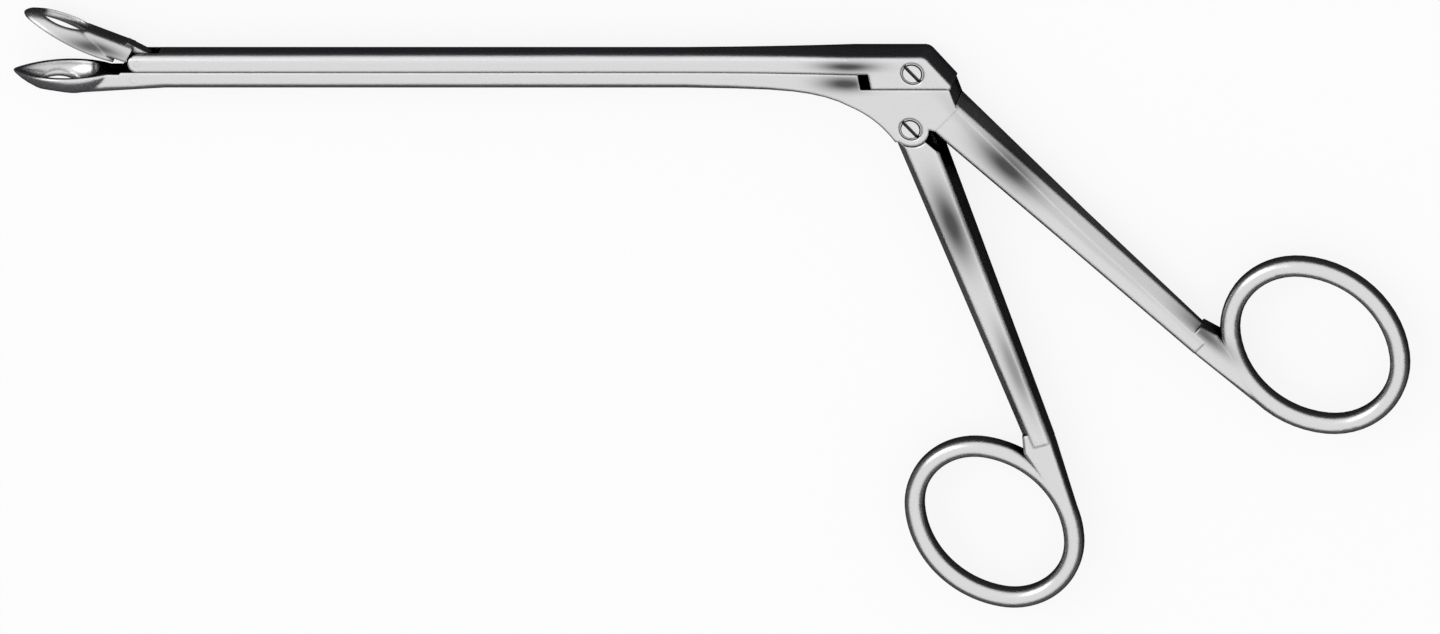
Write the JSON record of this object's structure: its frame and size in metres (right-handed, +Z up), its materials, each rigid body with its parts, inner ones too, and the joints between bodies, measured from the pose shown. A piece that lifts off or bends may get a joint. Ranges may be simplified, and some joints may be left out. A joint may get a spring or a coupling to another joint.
{
  "type": "nasal forceps",
  "caption": "Forceps with a long straight sliding shaft, ring handles bent downwards, and a small pair of windowed cup jaws of which the upper one closes.",
  "frame": {"origin": "The handle pivot's axis, in the side face of the forged body that the instrument rests on.", "axes": "+X runs along the shaft from the jaws to the handles and is the longest extent, +Y points from the finger ring to the sliding bar, and +Z points up out of the side that faces up, the shortest extent."},
  "size_m": [0.1958, 0.0916, 0.0074],
  "materials": {
    "satin_steel": "satin-brushed stainless steel",
    "turned_steel": "turned stainless steel"
  },
  "bodies": {
    "frame": {"fixed_shaft": "satin_steel", "pivot_screw": "turned_steel", "jaw_pivot_pin": "turned_steel"},
    "slide": {"slide_bar": "satin_steel", "drive_screw": "turned_steel", "jaw_drive_pin": "turned_steel"},
    "handle": {"front_handle": "satin_steel"},
    "jaw": {"upper_jaw": "satin_steel"}
  },
  "joints": [
    {"name": "handle_pivot", "type": "hinge", "parent": "frame", "child": "handle", "pos_m": [0, 0, 0.0028], "axis": [0, 0, 1], "range_deg": [0, 8.75]},
    {"name": "bar_slide", "type": "slide", "parent": "frame", "child": "slide", "axis": [-1, 0, 0], "range_m": [0, 0.00131]},
    {"name": "jaw_hinge", "type": "hinge", "parent": "frame", "child": "jaw", "pos_m": [-0.11055, 0.00726, 0.0028], "axis": [0, 0, 1], "range_deg": [0, 30.02]}
  ],
  "couplings": [
    {"joint": "bar_slide", "follows": "handle_pivot", "m_per_rad": 0.0085468},
    {"joint": "jaw_hinge", "follows": "handle_pivot", "ratio": 3.4307}
  ]
}
